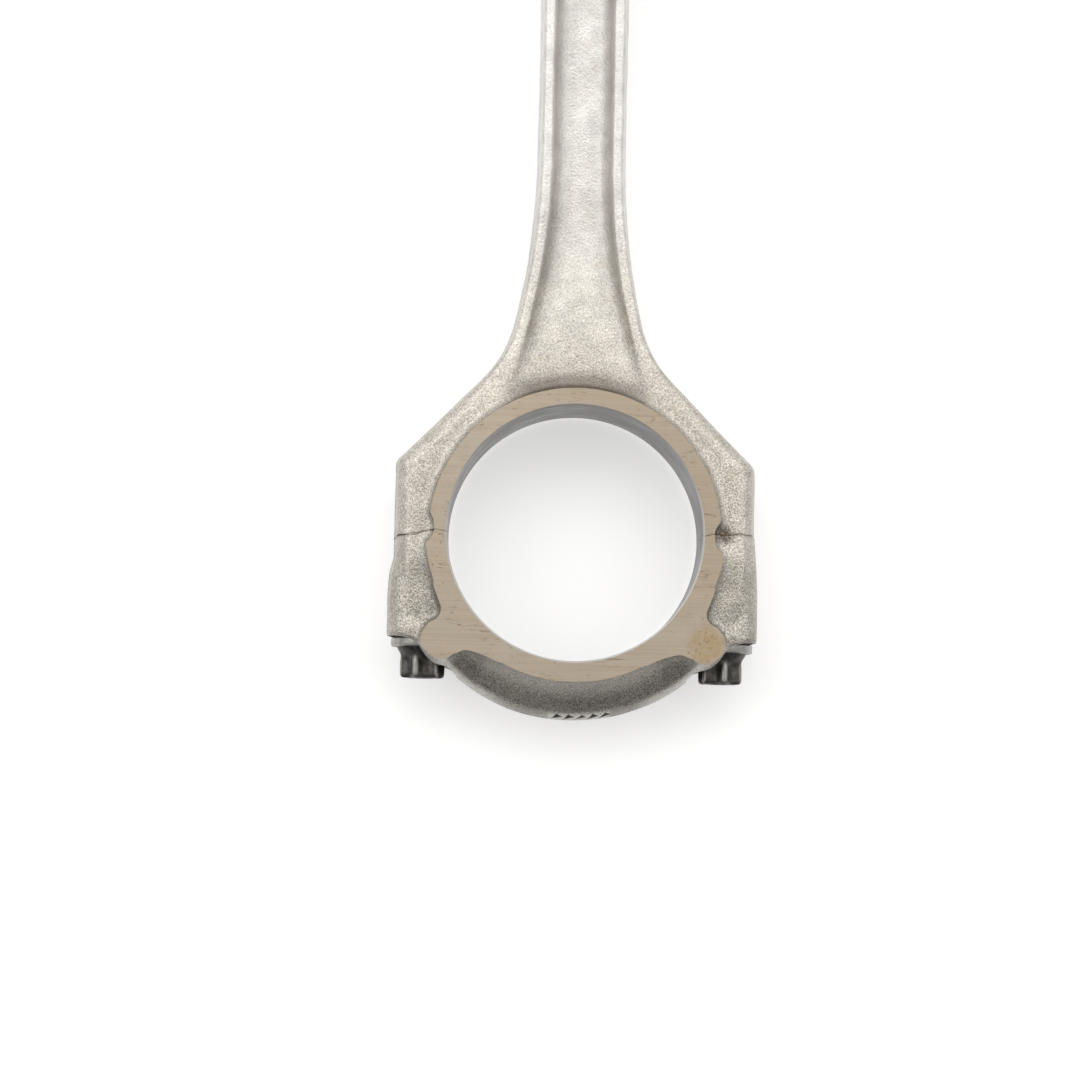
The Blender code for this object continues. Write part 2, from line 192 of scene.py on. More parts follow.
def pad(side, y, draft):
    """A raised pad, still proud of the plane that it will be ground to."""
    edge_r = 0.3
    return rounded_max(side - draft * (FACE_Y - y), y - STOCK_Y, edge_r)


def thrust_pad(radius, draft, x, y, z):
    """The pad round the big-end bore, notched on both sides of the bore at the fracture."""
    notch_edge_r = 0.4
    right = oval_field(x, z, 31.5, -0.4, 3.4, 3.9)
    left = oval_field(x, z, -31.9, 0.9, 3.4, 3.8)
    return rounded_max(pad(np.hypot(x, z) - radius, y, draft), -np.minimum(right, left), notch_edge_r)


# ---------------------------------------------------------------- meshes


def net_of(field, axes):
    """Surface net of a field's zero level: a vertex in each crossed cell, a quad over each crossed edge."""
    for axis in range(3):
        for end in (0, -1):
            rim = [slice(None)] * 3
            rim[axis] = end
            field[tuple(rim)] = np.maximum(field[tuple(rim)], 0.1)
    solid = field < 0
    step = [a[1] - a[0] for a in axes]
    cells = tuple(n - 1 for n in field.shape)
    total = np.zeros((*cells, 3), np.float32)
    count = np.zeros(cells, np.float32)
    crossed = []
    for axis in range(3):
        low = [slice(None)] * 3
        high = [slice(None)] * 3
        low[axis], high[axis] = slice(0, -1), slice(1, None)
        a, b = field[tuple(low)], field[tuple(high)]
        cross = solid[tuple(low)] != solid[tuple(high)]
        share = np.where(cross, a / np.where(cross, a - b, 1), 0).astype(np.float32)
        crossed.append((cross, solid[tuple(low)]))
        others = [k for k in range(3) if k != axis]
        for da in (0, 1):
            for db in (0, 1):
                pick = [slice(None)] * 3
                pick[others[0]] = slice(da, cells[others[0]] + da)
                pick[others[1]] = slice(db, cells[others[1]] + db)
                c = cross[tuple(pick)]
                count += c
                total[..., axis] += np.where(c, share[tuple(pick)], 0)
                total[..., others[0]] += c * da
                total[..., others[1]] += c * db
    used = count > 0
    index = np.cumsum(used.ravel()).reshape(cells) - 1
    where = np.argwhere(used)
    points = (where + total[used] / count[used][:, None]) * step + [a[0] for a in axes]
    quads = []
    for axis, (cross, below_solid) in enumerate(crossed):
        u, v = [k for k in range(3) if k != axis]
        inner = [slice(None)] * 3
        inner[u], inner[v] = slice(1, cells[u]), slice(1, cells[v])
        at = np.argwhere(cross[tuple(inner)])
        at[:, u] += 1
        at[:, v] += 1
        flip = below_solid[tuple(at.T)] ^ (axis == 1)
        corner = []
        for du, dv in ((1, 1), (0, 1), (0, 0), (1, 0)):
            cell = at.copy()
            cell[:, u] -= du
            cell[:, v] -= dv
            corner.append(index[tuple(cell.T)])
        quad = np.stack(corner, 1)
        quads.append(np.where(flip[:, None], quad, quad[:, ::-1]))
    return points, np.concatenate(quads)


def mesh_object(name, points, faces, materials, slot=0):
    """An object from points in mm and a uniform array of faces."""
    points = np.asarray(points, np.float32) * 0.001
    faces = np.asarray(faces, np.int32)
    mesh = bpy.data.meshes.new(name)
    mesh.vertices.add(len(points))
    mesh.vertices.foreach_set("co", points.ravel())
    mesh.loops.add(faces.size)
    mesh.loops.foreach_set("vertex_index", faces.ravel())
    mesh.polygons.add(len(faces))
    mesh.polygons.foreach_set("loop_start", np.arange(0, faces.size, faces.shape[1], dtype=np.int32))
    for material in materials:
        mesh.materials.append(material)
    mesh.polygons.foreach_set("material_index", np.full(len(faces), slot, np.int32))
    mesh.update(calc_edges=True)
    mesh.validate()
    obj = bpy.data.objects.new(name, mesh)
    bpy.context.scene.collection.objects.link(obj)
    return obj


def outward(points, faces):
    """The faces of a closed solid, flipped if they face inwards."""
    points = np.asarray(points, float)
    faces = np.asarray(faces)
    spokes = points - points.mean(0)
    volume = 0.0
    for k in range(1, faces.shape[1] - 1):
        a, b, c = spokes[faces[:, 0]], spokes[faces[:, k]], spokes[faces[:, k + 1]]
        volume += np.einsum("ij,ij->i", np.cross(a, b), c).sum()
    return faces if volume > 0 else faces[:, ::-1]


def lathed(name, profile, steps, axis, centre, materials, slot=0, wave=None):
    """A closed turned solid. Its profile is (radius, height) from one end on the axis to the other, or a
    closed ring off the axis. Height runs along 'Y' or 'Z'. A wave changes each ring's radius by angle."""
    turns = np.linspace(0, 2 * math.pi, steps, endpoint=False)
    rings = [(r, h) for r, h in profile if r > 1e-9]
    points = []
    for k, (r, h) in enumerate(rings):
        radius = np.full(steps, r) if wave is None else wave(k, r, h, turns)
        points.append(np.stack([radius * np.cos(turns), radius * np.sin(turns), np.full(steps, h)], 1))
    points = np.concatenate(points)
    closed_ring = profile[0][0] > 1e-9
    faces = []
    here = np.arange(steps)
    after = np.roll(here, -1)
    spans = len(rings) if closed_ring else len(rings) - 1
    for k in range(spans):
        a, b = k * steps, (k + 1) % len(rings) * steps
        faces.append(np.stack([a + here, b + here, b + after], 1))
        faces.append(np.stack([a + here, b + after, a + after], 1))
    if not closed_ring:
        ends = len(points)
        points = np.concatenate([points, [[0, 0, profile[0][1]], [0, 0, profile[-1][1]]]])
        last = (len(rings) - 1) * steps
        faces.append(np.stack([np.full(steps, ends), here, after], 1))
        faces.append(np.stack([np.full(steps, ends + 1), last + after, last + here], 1))
    faces = np.concatenate(faces)
    if axis == "Y":
        points = np.stack([points[:, 0], -points[:, 2], points[:, 1]], 1)
    points = points + np.asarray(centre)
    return mesh_object(name, points, outward(points, faces), materials, slot)


def block(name, low, high, materials, slot=0):
    """A rectangular block between two corners."""
    points = [(x, y, z) for x in (low[0], high[0]) for y in (low[1], high[1]) for z in (low[2], high[2])]
    faces = [(0, 1, 3, 2), (4, 6, 7, 5), (0, 4, 5, 1), (2, 3, 7, 6), (0, 2, 6, 4), (1, 5, 7, 3)]
    return mesh_object(name, points, faces, materials, slot)


def cut(target, cutters):
    """Takes the cutters out of the target and removes them."""
    for cutter in cutters:
        modifier = target.modifiers.new("cut", "BOOLEAN")
        modifier.operation = "DIFFERENCE"
        modifier.solver = "MANIFOLD"
        modifier.object = cutter
    bpy.context.view_layer.update()
    evaluated = target.evaluated_get(bpy.context.evaluated_depsgraph_get())
    mesh = bpy.data.meshes.new_from_object(evaluated)
    target.modifiers.clear()
    target.data = mesh
    for cutter in cutters:
        bpy.data.objects.remove(cutter)


def shade(obj, limit=24.0, forged_limit=75.0):
    """Smooth shading, with sharp edges round every machined or broken surface that bends past the limit in
    degrees. Where forged faces meet, only a steep edge is sharp."""
    mesh = obj.data
    mesh.shade_smooth()
    edge = np.empty(len(mesh.loops), np.int32)
    mesh.loops.foreach_get("edge_index", edge)
    sizes = np.empty(len(mesh.polygons), np.int32)
    mesh.polygons.foreach_get("loop_total", sizes)
    normal = np.empty(len(mesh.polygons) * 3, np.float32)
    mesh.polygons.foreach_get("normal", normal)
    normal = normal.reshape(-1, 3)
    slot = np.empty(len(mesh.polygons), np.int32)
    mesh.polygons.foreach_get("material_index", slot)
    face = np.repeat(np.arange(len(sizes)), sizes)
    pair = np.argsort(edge, kind="stable").reshape(-1, 2)
    a, b = face[pair[:, 0]], face[pair[:, 1]]
    bend = np.degrees(np.arccos(np.clip((normal[a] * normal[b]).sum(1), -1, 1)))
    both_forged = (slot[a] == FORGED) & (slot[b] == FORGED)
    sharp = np.zeros(len(mesh.edges), bool)
    sharp[edge[pair[:, 0]]] = (bend > limit) & (~both_forged | (bend > forged_limit))
    attribute = mesh.attributes.get("sharp_edge") or mesh.attributes.new("sharp_edge", "BOOLEAN", "EDGE")
    attribute.data.foreach_set("value", sharp)


# ---------------------------------------------------------------- cutters shared by the rod and the cap


def crack_height(x, y):
    """Height of the fracture, as a gently wandering surface."""
    left_dip = -1.15 * ease((-x - 28.5) / 8.5)
    right_rise = 0.38 * ease((x - 26) / 3) - 0.15 * ease((x - 33) / 4)
    broad = 0.16 * np.sin(x * 0.9 + y * 0.55 + 1.3) + 0.12 * np.sin(x * 0.7 - y * 0.95)
    return left_dip + right_rise + broad


def quads_between(a, b, c, d):
    """Four-cornered faces from four arrays of corners."""
    return np.stack([a.ravel(), b.ravel(), c.ravel(), d.ravel()], 1)


def crack_cutter(side, upward, materials):
    """Everything above or below the fracture on one side of the bore, as a block with a grainy face."""
    near_x, far_x, reach_y, far_z = 21.0, 42.0, 14.0, 12.0
    margin = 0.01  # lets the last row in
    x = np.arange(near_x, far_x + margin, CRACK_GRID)
    y = np.arange(-reach_y, reach_y + margin, CRACK_GRID)
    grain = 0.1 * wobble([x, y], 1.1, 5 + side) + 0.045 * wobble([x, y], 0.62, 15 + side)
    gx, gy = np.meshgrid(side * x, y, indexing="ij")
    split = np.stack([gx, gy, crack_height(gx, gy) + grain - upward * CRACK_GAP / 2], -1)
    far = split.copy()
    far[..., 2] = far_z * upward
    points = np.concatenate([split.reshape(-1, 3), far.reshape(-1, 3)])
    base = np.arange(gx.size).reshape(gx.shape)
    sheet = quads_between(base[:-1, :-1], base[1:, :-1], base[1:, 1:], base[:-1, 1:])
    faces = [sheet, sheet[:, ::-1] + gx.size]
    for rim in (base[:, 0][::-1], base[:, -1], base[0, :], base[-1, :][::-1]):
        faces.append(quads_between(rim[:-1], rim[1:], rim[1:] + gx.size, rim[:-1] + gx.size))
    return mesh_object("crack", points, outward(points, np.concatenate(faces)), materials, BROKEN)


def bore_cutter(radius, half_width, chamfer, centre, materials, steps):
    """A bore right through, chamfered at both mouths."""
    beyond = 9
    mouth = (radius + chamfer + beyond, half_width + beyond)
    half = [(0, half_width + beyond), mouth, (radius, half_width - chamfer)]
    profile = half + [(r, -h) for r, h in reversed(half)]
    return lathed("bore", profile, steps, "Y", centre, materials, BORED)


def big_end_bore(materials):
    """The housing bore, which is cut through the rod and the cap alike."""
    return bore_cutter(BORE_R, FACE_Y, BORE_CHAMFER, (0, 0, 0), materials, 288)


def grinding_cutter(side, half_width, reach_x, low_z, high_z, materials):
    """What is ground off in front of a thrust face, or behind it."""
    y = sorted((side * half_width, side * OVERRUN_Y))
    return block("slab", (-reach_x, y[0], low_z), (reach_x, y[1], high_z), materials, GROUND)


def bolt_axis_cutter(side, profile, steps, materials):
    """A hole or spot face round one bolt's axis."""
    return lathed("hole", profile, steps, "Z", (side * BOLT_X, 0, 0), materials, DRILLED)


# ---------------------------------------------------------------- rod


def flank(inset):
    """Right side of the shank and shoulder, set in from the outline, from the shoulder's slope upwards. Two
    arcs meet where the side leans by the joint's angle."""
    upper_r, lower_r, joint = 145, 25.4, 13.5
    upper_x = SHANK_X + upper_r
    lower_x = upper_x - (upper_r - lower_r) * math.cos(math.radians(joint))
    lower_z = FLARE_Z - (upper_r - lower_r) * math.sin(math.radians(joint))
    lower = arc(lower_x, lower_z, lower_r + inset, 225, 180 + joint, 12)
    return lower + arc(upper_x, FLARE_Z, upper_r + inset, 180 + joint, 180, 12)[1:]


def rod_outline():
    """Shoulders, shank and eye, from a little below the fracture upwards."""
    corner_r, fillet_r = 2.6, 22
    side = flank(0)
    corner_z = side[0][1] - (SIDE_X - side[0][0]) - corner_r * math.tan(math.radians(22.5))
    corner = arc(SIDE_X - corner_r, corner_z, corner_r, 0, 45, 6)
    fillet_x = SHANK_X + fillet_r
    drop = math.sqrt((EYE_R + fillet_r) ** 2 - fillet_x**2)
    toward = math.degrees(math.atan2(drop, -fillet_x))
    fillet = arc(fillet_x, EYE_Z - drop, fillet_r, 180, toward, 12)
    eye = arc(0, EYE_Z, EYE_R, toward - 180, 90, 40)
    return mirrored([(SIDE_X, -9)] + corner + side + fillet + eye[1:])


def pocket_outline():
    """The I-beam's hollow between its rails, spread out at the foot and round at the top."""
    crest_drop, foot_z = 25, 22
    crest = arc(0, EYE_Z - crest_drop, SHANK_X - RAIL, 0, 90, 12)
    return mirrored([(0, foot_z), (18.5, foot_z), (19.5, 28)] + flank(RAIL) + crest)


def rod_half_width(z):
    """Half width of the rod's forging, which thins up the shank and thickens again at the eye."""
    foot, shank_drop, eye_rise = 10, 2.3, 3.1
    return foot - shank_drop * ease((z - 23) / 27) + eye_rise * ease((z - 121) / 10)


def web_half_width(x, z):
    """Half width of the web between the hollows, which get shallower at the foot and run out at the eye."""
    web, foot_rise, eye_rise, foot_curve = 2.35, 2.9, 9.5, 0.021
    web = web + foot_rise * ease((68 - z) / 36) + eye_rise * ease((z - 112) / 22)
    return web + foot_curve * x * x * ease((48 - z) / 16)


def rod_blank(materials):
    """The rod's forging before it is machined."""
    draft, flash_height, pad_draft, pocket_draft = 0.085, 0.22, 0.06, 0.16
    shank_edge_r, foot_edge_extra, pocket_r, rail_r, pad_fillet_r = 0.75, 2.5, 2.9, 0.6, 1.9
    axes = axes_of((-39.2, -13.6, -7.0), (39.2, 13.6, 165.0), ROD_GRID)
    x, y, z = spread(axes)
    thick = rod_half_width(z)
    side = drafted(outline_field(rod_outline(), axes), y, draft, flash_height)
    edge_r = shank_edge_r + foot_edge_extra * ease((36 - z) / 16)
    body = rounded_max(side, y - thick, edge_r)
    walls = outline_field(pocket_outline(), axes) + pocket_draft * (thick - y)
    pocket = rounded_max(walls, web_half_width(x, z) - y, pocket_r)
    body = rounded_max(body, -pocket, rail_r)
    body = rounded_min(body, thrust_pad(ROD_FACE_R, pad_draft, x, y, z), pad_fillet_r)
    body = uneven(body, axes, 9.0, 2.4, 1)
    points, faces = net_of(body.astype(np.float32), axes)
    return mesh_object("rod_body_forging", points, faces, materials, FORGED)


def build_rod(materials):
    """The rod, ground, bored at both ends, drilled for the bolts and for oil, and broken off its cap."""
    rod = rod_blank(materials)
    hole_r, oil_r, funnel_r, bush_room = 3.95, 1.6, 2.9, 0.05
    hole = [(0, -14), (hole_r, -14), (hole_r, 13.4), (0, 15.6)]
    oil = [(0, 5), (oil_r, 5), (oil_r, 15.6), (funnel_r, 17.2), (funnel_r, 24), (0, 24)]
    cutters = []
    for side in (-1, 1):
        cutters.append(grinding_cutter(side, FACE_Y, 45, -12, 60, materials))
        cutters.append(grinding_cutter(side, EYE_Y, 30, 112, 175, materials))
        cutters.append(crack_cutter(side, -1, materials))
        cutters.append(bolt_axis_cutter(side, hole, 64, materials))
    cutters.append(big_end_bore(materials))
    cutters.append(bore_cutter(BUSH_R + bush_room, EYE_Y, 0.35, (0, 0, EYE_Z), materials, 160))
    cutters.append(lathed("oil", oil, 40, "Z", (0, 0, EYE_Z), materials, DRILLED))
    cut(rod, cutters)
    shade(rod)
    return rod


# ---------------------------------------------------------------- cap


def boss_outline(side):
    """Bolt boss, whose outer side swells a little on the right and steps out below the crack on the left."""
    upper = [(37.2, 6), (37.3, 0), (37.8, -6)] if side > 0 else [(37.0, 6), (37.0, -5.0), (37.75, -7.8)]
    lower = [(38.1, -12), (38.1, -30), (24, -30), (16, -14)]
    return [(side * x, z) for x, z in [(16, 6)] + upper + lower]


def bolt_boss(side, axes):
    """One bolt boss, dished in front and undercut next to its seat."""
    x, y, z = spread(axes)
    draft, flash_height, boss_y, edge_r, under_r = 0.07, 0.2, 9.85, 3.9, 0.5
    dish_depth, swell_height, seat_step = 0.8, 0.12, 0.3
    dish = ease((-5.6 - z) / 5.4) * ease((z + 20.4) / 3.4) * (dish_depth - 0.04 * (np.abs(x) - 30))
    swell = swell_height * np.exp(-(((z + 4.6) / 1.8) ** 2))
    outline = drafted(outline_field(boss_outline(side), axes), y, draft, flash_height)
    boss = rounded_max(outline, y - boss_y + dish - swell, edge_r)
    undercut = 0.048 * np.clip(37 - np.abs(x), 0, 9) ** 2
    return rounded_max(boss, SEAT_Z - seat_step - undercut - z, under_r)


def ear_outline(side):
    """Lobe of the cap's thrust face that reaches past the bolt seat, with the bays above and below it."""
    upper = arc(29.6, -15.9, 2.7, 150, 258, 8)
    lobe = []
    for turn in np.radians(np.linspace(48, -138, 19)):
        reach = EAR_R - 0.45 * math.exp(-(((turn + 0.85) / 0.6) ** 2))
        lobe.append((EAR_X + reach * math.cos(turn), EAR_Z + reach * math.sin(turn)))
    lower = arc(21.6, -26.9, 2.6, 48, 100, 6)
    inner = [(18.2, -25.1), (15, -26.2), (14, -21), (23, -14)]
    return [(side * x, z) for x, z in [(28.3, -11.2)] + upper + lobe + lower + inner]


def crown_rib(x, y, z):
    """Hoop round the bottom of the bore, bevelled down towards its rim and thicker next to the bosses."""
    bevel, across_bevel = 0.72, 0.81  # slope of the bevel, and what keeps distances true across it
    bevel_y, bevel_r, boss_rise, most_y = 8.3, 31, 3.6, 8.9
    draft, flash_height, edge_r = 0.075, 0.2, 1.6
    r = np.hypot(x, z)
    bevelled = bevel_y - bevel * (r - bevel_r) + boss_rise * ease((np.abs(x) - 18.5) / 6)
    front = (y - np.minimum(bevelled, most_y)) * across_bevel
    return rounded_max(drafted(r - CROWN_R, y, draft, flash_height), front, edge_r)


def cap_blank(materials):
    """The cap's forging before it is machined."""
    hoop_x = 33.5  # keeps the hoop inside the bosses' outer sides
    pad_draft, pad_fillet_r, ear_fillet_r = 0.14, 2.4, 1.1
    axes = axes_of((-40.2, -13.6, -40.0), (40.2, 13.6, 4.0), CAP_GRID)
    x, y, z = spread(axes)
    hoop = rounded_min(crown_rib(x, y, z), thrust_pad(CAP_FACE_R, pad_draft, x, y, z), pad_fillet_r)
    hoop = np.maximum(hoop, np.abs(x) - hoop_x)
    for side, fillet_r in ((-1, 1.6), (1, 2.5)):
        hoop = rounded_min(hoop, bolt_boss(side, axes), fillet_r)
        ear = pad(outline_field(ear_outline(side), axes), y, 0.08 + 0.1 * ease((-23 - z) / 4))
        hoop = rounded_min(hoop, ear, ear_fillet_r)
    hoop = uneven(hoop, axes, 8.0, 2.2, 3)
    points, faces = net_of(hoop.astype(np.float32), axes)
    return mesh_object("big_end_cap_forging", points, faces, materials, FORGED)


def nick_cutters(materials):
    """A row of short slanting V cuts across the lower front edge of the crown."""
    count, first_x, spacing, row_y, sunk = 5, -3.5, 2.5, -2.1, 0.05
    depth, height, right, left, reaches = 1.15, 0.9, 1.35, 0.8, (-2.3, 1.8)
    cutters = []
    for k in range(count):
        x = first_x + k * spacing
        middle = np.array([x, row_y, -math.sqrt((CROWN_R - sunk) ** 2 - x * x)])
        along = np.array([0.62 + 0.12 * math.sin(4 * k), -0.45, 0.7])
        along /= np.linalg.norm(along)
        out = np.array([0.0, -0.65, -0.76])
        out -= along * out.dot(along)
        out /= np.linalg.norm(out)
        across = np.cross(along, out)
        section = [-depth * out, height * out + right * across, height * out - left * across]
        ring = [middle + along * reach + offset for reach in reaches for offset in section]
        faces = [(0, 1, 2), (3, 5, 4), (0, 3, 4), (0, 4, 1), (1, 4, 5), (1, 5, 2), (2, 5, 3), (2, 3, 0)]
        cutters.append(mesh_object("nick", ring, outward(ring, faces), materials, DRILLED))
    return cutters


def build_cap(materials):
    """The cap, nicked, ground, bored, drilled and spot-faced for the bolts, and broken off the rod."""
    cap = cap_blank(materials)
    hole_r, low_z, high_z, spot_z = 4.15, -50, 14, SEAT_Z - 0.02
    hole = [(0, low_z), (hole_r, low_z), (hole_r, high_z), (0, high_z)]
    spot = [(0, low_z), (SPOT_R, low_z), (SPOT_R, spot_z), (0, spot_z)]
    cutters = nick_cutters(materials)
    for side in (-1, 1):
        cutters.append(grinding_cutter(side, FACE_Y, 45, -45, 12, materials))
        cutters.append(crack_cutter(side, 1, materials))
        cutters.append(bolt_axis_cutter(side, hole, 64, materials))
        cutters.append(bolt_axis_cutter(side, spot, 96, materials))
    cutters.append(big_end_bore(materials))
    cut(cap, cutters)
    shade(cap)
    return cap


# ---------------------------------------------------------------- bolts and bush


def head_profile():
    """(radius, height, share of the lobes) down a bolt's head, from a seat that stands clear of the boss."""
    flange_r, neck_r, drive_r = 6.58, 5.3, 3.98
    points = [(5.5, 0.0, 0), (5.6, -0.56, 0), (6.4, -0.6, 0), (flange_r, -0.74, 0), (flange_r, -2.0, 0)]
    points += [(6.48, -2.22, 0), (6.2, -2.34, 0), (5.6, -2.38, 0)]
    for t in np.linspace(0, 1, 12):
        points.append((neck_r - 1.3 * ease(t**0.7), -2.45 - 3.1 * t, ease((t - 0.3) / 0.7)))
    points += [(drive_r, -6.2, 1), (drive_r, -7.2, 1), (3.96, -7.9, 1), (3.87, -8.25, 1)]
    points += [(3.7, -8.52, 0.95), (3.4, -8.68, 0.8), (2.9, -8.7, 0.4), (2.45, -8.62, 0)]
    return points + [(2.3, -8.25, 0), (1.2, -8.2, 0)]


def build_bolt(name, x, first_lobe, material):
    """A flanged cap bolt with a waisted shank, a rolled thread and an external six-lobe head, whose first
    lobe is at an angle in degrees."""
    waist_r, thread_r, pitch, thread_start, tip = 3.4, 3.62, 1.25, 18.0, 33.4
    shank = [(3.55, 0.0), (3.42, 0.25), (waist_r, 1.0), (waist_r, 17.4), (thread_r, 17.9)]
    thread = [(thread_r, h) for h in np.arange(thread_start + 0.06, tip - 0.9, pitch / 14)]
    end = [(3.35, tip - 0.7), (3.0, tip - 0.3), (2.6, tip - 0.1), (1.5, tip)]
    rings = [(r, h, None) for r, h in reversed(shank + thread + end)]
    rings = rings + head_profile()

    def wave(k, r, h, turns):
        lobe_share = rings[k][2]
        if lobe_share is not None:
            lobes = 6 * (turns - math.radians(first_lobe))
            return r + lobe_share * (0.6 * np.cos(lobes) + 0.08 * np.cos(2 * lobes))
        if not thread_start < h < tip - 0.6:
            return np.full(len(turns), r)
        fade = ease((h - thread_start) / 1.2) * ease((tip - 0.6 - h) / 1.1)
        saw = (h / pitch - turns / (2 * math.pi)) % 1
        ridge = np.clip(1.18 * (1 - np.abs(2 * saw - 1)) / 0.9, 0, 1)
        return r - 0.3 + 0.3 * (1 - fade) * 0.4 + 0.52 * fade * ease(ridge)

    profile = [(0, rings[0][1])] + [(r, h) for r, h, _ in rings] + [(0, -8.2)]
    bolt = lathed(name, profile, 144, "Z", (x, 0, SEAT_Z - 0.06), [material], 0, wave)
    bolt.data.shade_smooth()
    bolt.data.set_sharp_from_angle(angle=math.radians(38))
    return bolt


def build_bush(material):
    """A rolled bush with chamfered mouths, an oil hole and the seam where the roll closes."""
    half, lead, back, oil_r = EYE_Y - 0.12, 0.55, 0.15, 1.5
    profile = [(PIN_R + lead, half), (BUSH_R - back, half), (BUSH_R, half - back), (BUSH_R, back - half)]
    profile += [(BUSH_R - back, -half), (PIN_R + lead, -half), (PIN_R, lead - half), (PIN_R, half - lead)]
    bush = lathed("small_end_bush_sleeve", profile, 160, "Y", (0, 0, EYE_Z), [material])
    hole = [(0, 5), (oil_r, 5), (oil_r, 20), (0, 20)]
    oil = lathed("oil", hole, 40, "Z", (0, 0, EYE_Z), [material])
    seam = block("seam", (-0.05, -12, EYE_Z - 14), (0.05, 12, EYE_Z - 9), [material])
    cut(bush, [oil, seam])
    bush.data.shade_smooth()
    bush.data.set_sharp_from_angle(angle=math.radians(30))
    return bush


# ---------------------------------------------------------------- node trees


class Graph:
    """A node tree under construction, with a few short ways to add to it."""

    def __init__(self, tree):
        self.tree = tree

    def feed(self, socket, value):
        """Links a socket to another, or sets its value."""
        if isinstance(value, bpy.types.NodeSocket):
            self.tree.links.new(value, socket)
        elif isinstance(value, tuple) and len(value) == 3 and socket.type == "RGBA":
            socket.default_value = (*value, 1)
        else:
            socket.default_value = value

    def add(self, kind, inputs, **settings):
        """A new shader node with its inputs fed and its settings made."""
        node = self.tree.nodes.new("ShaderNode" + kind)
        for key, value in settings.items():
            setattr(node, key, value)
        for key, value in inputs.items():
            self.feed(node.inputs[key], value)
        return node

    def math(self, operation, a, b=0.0):
        """One arithmetic step."""
        return self.add("Math", {0: a, 1: b}, operation=operation).outputs[0]

    def product(self, first, *others):
        """All the values multiplied together."""
        for other in others:
            first = self.math("MULTIPLY", first, other)
        return first

    def absolute(self, value):
        """A value without its sign."""
        return self.math("ABSOLUTE", value)

    def gap(self, a, b):
        """How far apart two values are."""
        return self.absolute(self.math("SUBTRACT", a, b))

    def length(self, a, b):
        """Length of a vector in a plane, from its two components."""
        return self.math("SQRT", self.math("ADD", self.math("POWER", a, 2.0), self.math("POWER", b, 2.0)))

    def along(self, vector, direction):
        """How far a unit vector points along a direction."""
        return self.add("VectorMath", {0: vector, 1: direction}, operation="DOT_PRODUCT").outputs["Value"]

    def ramp(self, value, low, high, to_low=0.0, to_high=1.0):
        """Smooth step of a value from one range to another."""
        inputs = {"Value": value, "From Min": low, "From Max": high, "To Min": to_low, "To Max": to_high}
        return self.add("MapRange", inputs, interpolation_type="SMOOTHSTEP").outputs["Result"]

    def mix(self, share, a, b, blend="MIX"):
        """Colour a with a share of colour b."""
        node = self.tree.nodes.new("ShaderNodeMix")
        node.data_type = "RGBA"
        node.blend_type = blend
        for key, value in (("Factor", share), ("A", a), ("B", b)):
            self.feed(node.inputs[key], value)
        return node.outputs["Result"]


class Surface(Graph):
    """A material under construction. Its x, y and z are in mm from the centre of the big-end bore."""

    def __init__(self, name):
        self.material = bpy.data.materials.new(name)
        self.material.use_nodes = True
        super().__init__(self.material.node_tree)
        self.shader = self.tree.nodes["Principled BSDF"]
        coords = self.add("TexCoord", {})
        self.place = coords.outputs["Object"]
        self.normal = coords.outputs["Normal"]
        parts = self.add("SeparateXYZ", {0: self.place}).outputs
        self.x, self.y, self.z = [self.math("MULTIPLY", part, 1000) for part in parts]

    def noise(self, size, detail=2.0, rough=0.5):
        """Noise from 0 to 1, with features of a size in mm."""
        inputs = {"Vector": self.place, "Scale": 1000 / size, "Detail": detail, "Roughness": rough}
        return self.add("TexNoise", inputs).outputs["Fac"]

    def streaks(self, counts, detail, rough, distortion=0.0):
        """Noise from 0 to 1, with its own count of features to the metre along each axis."""
        place = self.add("VectorMath", {0: self.place, 1: counts}, operation="MULTIPLY").outputs[0]
        inputs = {"Vector": place, "Scale": 1.0, "Detail": detail, "Roughness": rough}
        inputs["Distortion"] = distortion
        return self.add("TexNoise", inputs).outputs["Fac"]

    def cells(self, size):
        """Distance to the nearest of many random points, a size in mm apart."""
        return self.add("TexVoronoi", {"Vector": self.place, "Scale": 1000 / size}).outputs["Distance"]

    def spot(self, x, z, radius, soft):
        """1 inside a spot seen from the front, fading to 0 outside it."""
        away = self.length(self.math("SUBTRACT", self.x, x), self.math("SUBTRACT", self.z, z))
        return self.ramp(away, radius - soft, radius + soft, 1, 0)

    def bump(self, height, depth, before=None):
        """Bump from a height of 0 to 1, its depth in mm."""
        inputs = {"Height": height, "Distance": depth / 1000, "Strength": 1.0}
        if before is not None:
            inputs["Normal"] = before
        return self.add("Bump", inputs).outputs[0]

    def finish(self, colour, metallic, roughness, normal=None):
        """Feeds the shader and hands over the material."""
        self.feed(self.shader.inputs["Base Color"], colour)
        self.feed(self.shader.inputs["Metallic"], metallic)
        self.feed(self.shader.inputs["Roughness"], roughness)
        if normal is not None:
            self.feed(self.shader.inputs["Normal"], normal)
        return self.material


# ---------------------------------------------------------------- materials


def crack_band(s, half):
    """1 along the fracture line, fading out to 0 at half the band's width."""
    rise = s.math("SUBTRACT", s.ramp(s.x, 26, 29, 0, 0.4), s.ramp(s.x, -28.5, -37, 0, 1.15))
    wander = s.product(s.math("SUBTRACT", s.noise(1.6, 2), 0.5), 0.9)
    return s.ramp(s.gap(s.z, s.math("ADD", rise, wander)), 0.0, half, 1, 0)


